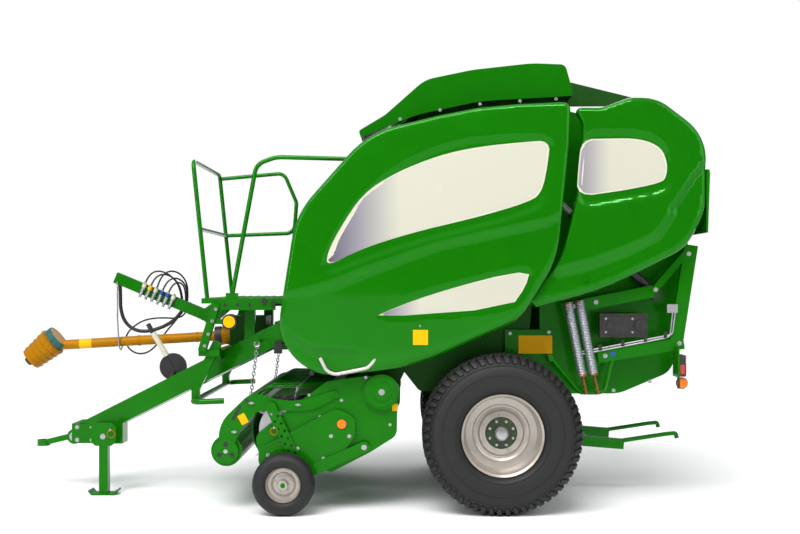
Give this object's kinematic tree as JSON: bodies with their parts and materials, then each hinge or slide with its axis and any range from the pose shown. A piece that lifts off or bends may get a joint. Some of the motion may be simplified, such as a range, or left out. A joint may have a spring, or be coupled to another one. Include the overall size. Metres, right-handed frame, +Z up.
{
  "type": "trailed round baler",
  "caption": "Trailed farm baler that picks up a swath and rolls it into a round bale, with a lifting tailgate, side doors, tined pick-up, drawbar and drive shaft.",
  "frame": {"origin": "on the ground under the middle of the machine's length and width", "axes": "+X to the rear, +Y to the machine's right-hand side, +Z up"},
  "size_m": [5.4249, 2.54, 3.348],
  "materials": {
    "green_paint": "gloss",
    "dark_green_paint": "gloss",
    "black_paint": "satin",
    "silver_paint": "satin",
    "tyre_rubber": "matt",
    "bare_steel": "satin",
    "belt_rubber": "matt",
    "ochre_plastic": "gloss",
    "black_plastic": "matt",
    "lamp_plastic": "gloss",
    "hose_rubber": "matt"
  },
  "bodies": {
    "chassis": {"chamber_walls": "dark_green_paint", "axle_frame": "dark_green_paint", "floor_rollers": "bare_steel", "drawbar": "green_paint", "tow_eye": "bare_steel", "gearbox": "dark_green_paint", "pto_guard": "ochre_plastic", "hose_bar": "green_paint", "shaft_hanger": "bare_steel", "couplers": "bare_steel", "platform": "green_paint", "front_rails": "green_paint", "grab_rail": "green_paint", "step_frame": "green_paint", "brake_lever": "black_paint", "front_cover": "dark_green_paint", "roof_panel": "green_paint", "top_plates": "black_paint", "door_hinges": "black_paint", "cable_bundle": "hose_rubber", "hose_loop_1": "hose_rubber", "hose_loop_2": "hose_rubber", "hose_loop_3": "hose_rubber", "hose_loop_4": "hose_rubber", "hose_loop_5": "hose_rubber", "hose_loop_6": "hose_rubber"},
    "wheel_left": {"tyre_left": "tyre_rubber", "rim_left": "silver_paint"},
    "wheel_right": {"tyre_right": "tyre_rubber", "rim_right": "silver_paint"},
    "door_left": {"door_left": "green_paint"},
    "door_right": {"door_right": "green_paint"},
    "jack": {"jack_leg": "silver_paint"},
    "shaft_yoke": {"pto_yoke": "black_paint"},
    "bale_ramp": {"bale_ramp": "green_paint"},
    "tailgate": {"tailgate_walls": "dark_green_paint", "rear_panel_left": "green_paint", "rear_panel_right": "green_paint", "tailgate_rollers": "bare_steel", "tailgate_belts": "belt_rubber", "tailgate_frames": "green_paint", "tension_springs": "bare_steel", "tail_modules": "black_plastic", "tail_lamps": "lamp_plastic", "rear_guard": "green_paint"},
    "ram_barrel_left": {"ram_barrel_left": "black_paint"},
    "ram_barrel_right": {"ram_barrel_right": "black_paint"},
    "ram_rod_left": {"ram_rod_left": "bare_steel"},
    "ram_rod_right": {"ram_rod_right": "bare_steel"},
    "pickup": {"pickup_frame": "green_paint", "pickup_shields": "green_paint", "gauge_arms": "green_paint", "stripper_bands": "dark_green_paint"},
    "tine_reel": {"tine_reel": "bare_steel"},
    "gauge_wheel_left": {"gauge_tyre_left": "tyre_rubber", "gauge_rim_left": "silver_paint"},
    "gauge_wheel_right": {"gauge_tyre_right": "tyre_rubber", "gauge_rim_right": "silver_paint"},
    "crop_guard": {"crop_guard": "green_paint"},
    "crop_roller": {"crop_roller": "green_paint"}
  },
  "joints": [
    {"name": "wheel_left_spin", "type": "hinge", "parent": "chassis", "child": "wheel_left", "pos_m": [1.16756, -1.02, 0.585], "axis": [0, 1, 0], "continuous": true},
    {"name": "wheel_right_spin", "type": "hinge", "parent": "chassis", "child": "wheel_right", "pos_m": [1.16756, 1.02, 0.585], "axis": [0, 1, 0], "continuous": true},
    {"name": "tailgate_lift", "type": "hinge", "parent": "chassis", "child": "tailgate", "pos_m": [1.68256, 0, 2.945], "axis": [0, -1, 0], "range_deg": [0, 50]},
    {"name": "door_left_lift", "type": "hinge", "parent": "chassis", "child": "door_left", "pos_m": [1.16756, -1, 2.95], "axis": [-1, 0, 0], "range_deg": [0, 70]},
    {"name": "door_right_lift", "type": "hinge", "parent": "chassis", "child": "door_right", "pos_m": [1.16756, 1, 2.95], "axis": [1, 0, 0], "range_deg": [0, 70]},
    {"name": "jack_swing", "type": "hinge", "parent": "chassis", "child": "jack", "pos_m": [-1.95244, -0.34, 0.467], "axis": [0, -1, 0], "range_deg": [0, 90]},
    {"name": "shaft_spin", "type": "hinge", "parent": "chassis", "child": "shaft_yoke", "pos_m": [-2.47244, 0, 1.205], "axis": [-0.7759, 0, -0.6309], "continuous": true},
    {"name": "ramp_drop", "type": "hinge", "parent": "chassis", "child": "bale_ramp", "pos_m": [1.35756, 0, 0.47], "axis": [0, 1, 0], "range_deg": [0, 14]},
    {"name": "pickup_lift", "type": "hinge", "parent": "chassis", "child": "pickup", "pos_m": [0.28656, 0, 0.886], "axis": [0, 1, 0], "range_deg": [0, 7]},
    {"name": "reel_spin", "type": "hinge", "parent": "pickup", "child": "tine_reel", "pos_m": [-0.42244, 0, 0.6], "axis": [0, 1, 0], "continuous": true},
    {"name": "gauge_left_spin", "type": "hinge", "parent": "pickup", "child": "gauge_wheel_left", "pos_m": [-0.42244, -1.164, 0.228], "axis": [0, 1, 0], "continuous": true},
    {"name": "gauge_right_spin", "type": "hinge", "parent": "pickup", "child": "gauge_wheel_right", "pos_m": [-0.42244, 1.164, 0.228], "axis": [0, 1, 0], "continuous": true},
    {"name": "guard_lift", "type": "hinge", "parent": "pickup", "child": "crop_guard", "pos_m": [-0.08044, 0, 0.872], "axis": [0, 1, 0], "range_deg": [0, 3]},
    {"name": "crop_roller_spin", "type": "hinge", "parent": "crop_guard", "child": "crop_roller", "pos_m": [-0.86644, 0, 0.446], "axis": [0, 1, 0], "continuous": true},
    {"name": "ram_left_tilt", "type": "hinge", "parent": "tailgate", "child": "ram_barrel_left", "pos_m": [2.36856, -0.752, 1.602], "axis": [0, -1, 0], "range_deg": [-5, 0.05]},
    {"name": "ram_left_slide", "type": "slide", "parent": "ram_barrel_left", "child": "ram_rod_left", "axis": [-0.7191, 0, 0.6949], "range_m": [-0.0005, 0.39126]},
    {"name": "ram_right_tilt", "type": "hinge", "parent": "tailgate", "child": "ram_barrel_right", "pos_m": [2.36856, 0.752, 1.602], "axis": [0, -1, 0], "range_deg": [-5, 0.05]},
    {"name": "ram_right_slide", "type": "slide", "parent": "ram_barrel_right", "child": "ram_rod_right", "axis": [-0.7191, 0, 0.6949], "range_m": [-0.0005, 0.39126]}
  ],
  "couplings": [
    {"joint": "ram_left_tilt", "follows": "tailgate_lift", "ratio": -0.099045},
    {"joint": "ram_left_slide", "follows": "tailgate_lift", "m_per_rad": 0.44778},
    {"joint": "ram_right_tilt", "follows": "tailgate_lift", "ratio": -0.099045},
    {"joint": "ram_right_slide", "follows": "tailgate_lift", "m_per_rad": 0.44778}
  ]
}
